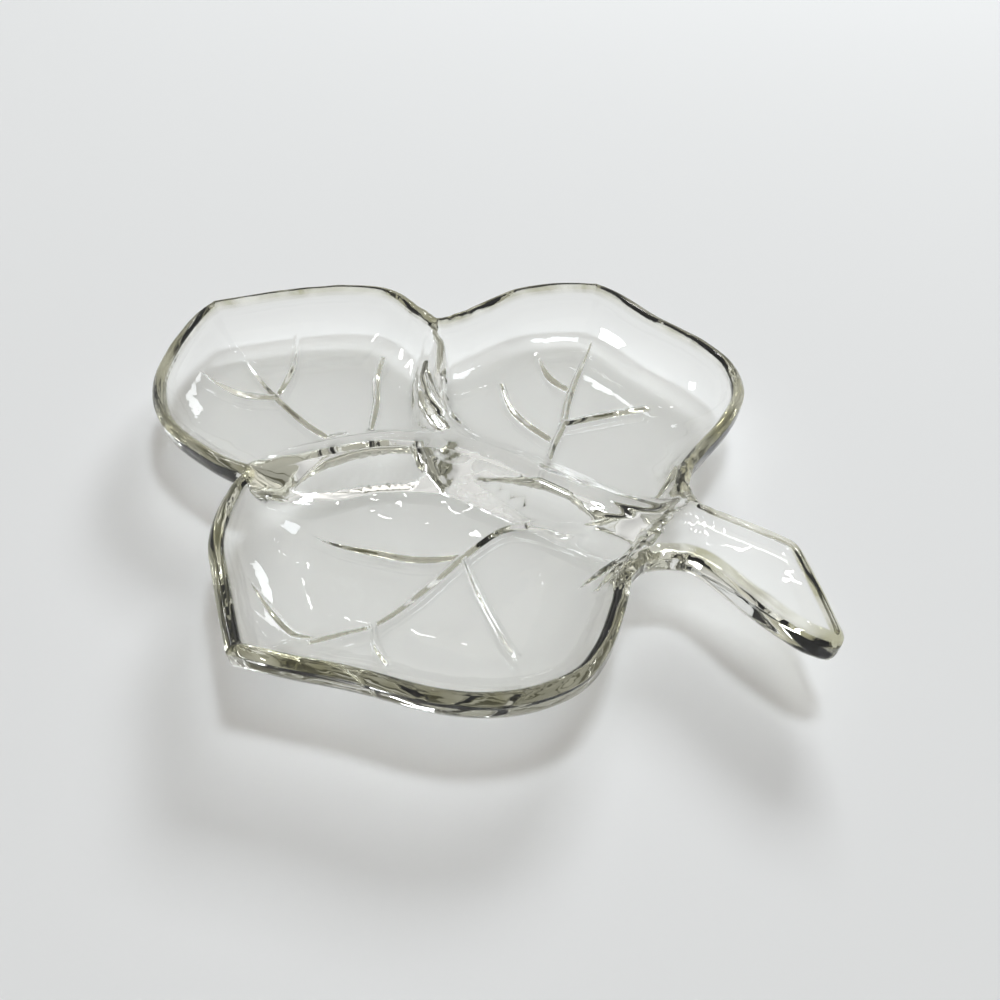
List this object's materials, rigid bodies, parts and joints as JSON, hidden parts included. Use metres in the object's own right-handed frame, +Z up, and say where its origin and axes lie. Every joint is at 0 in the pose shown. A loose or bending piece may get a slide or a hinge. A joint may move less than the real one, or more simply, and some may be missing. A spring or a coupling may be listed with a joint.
{
  "type": "leaf relish tray",
  "caption": "Clear glass relish tray of joined leaf dishes with raised veins, low dividers between the dishes and a flat twig handle, for serving relishes or pickles.",
  "frame": {"origin": "on the table the tray rests on, under the middle of its length and width", "axes": "+X along the stem from the leaf tip to the handle, +Z up; +Y towards the far leaf, away from the camera"},
  "size_m": [0.2536, 0.2058, 0.0225],
  "materials": {
    "clear_glass": "polished pressed glass"
  },
  "bodies": {
    "root": {"tip_leaf_dish": "clear_glass", "near_leaf_dish": "clear_glass", "far_leaf_dish": "clear_glass", "near_divider": "clear_glass", "far_divider": "clear_glass", "stem_divider": "clear_glass", "divider_hub": "clear_glass", "handle_root": "clear_glass", "twig_handle": "clear_glass"}
  },
  "joints": []
}
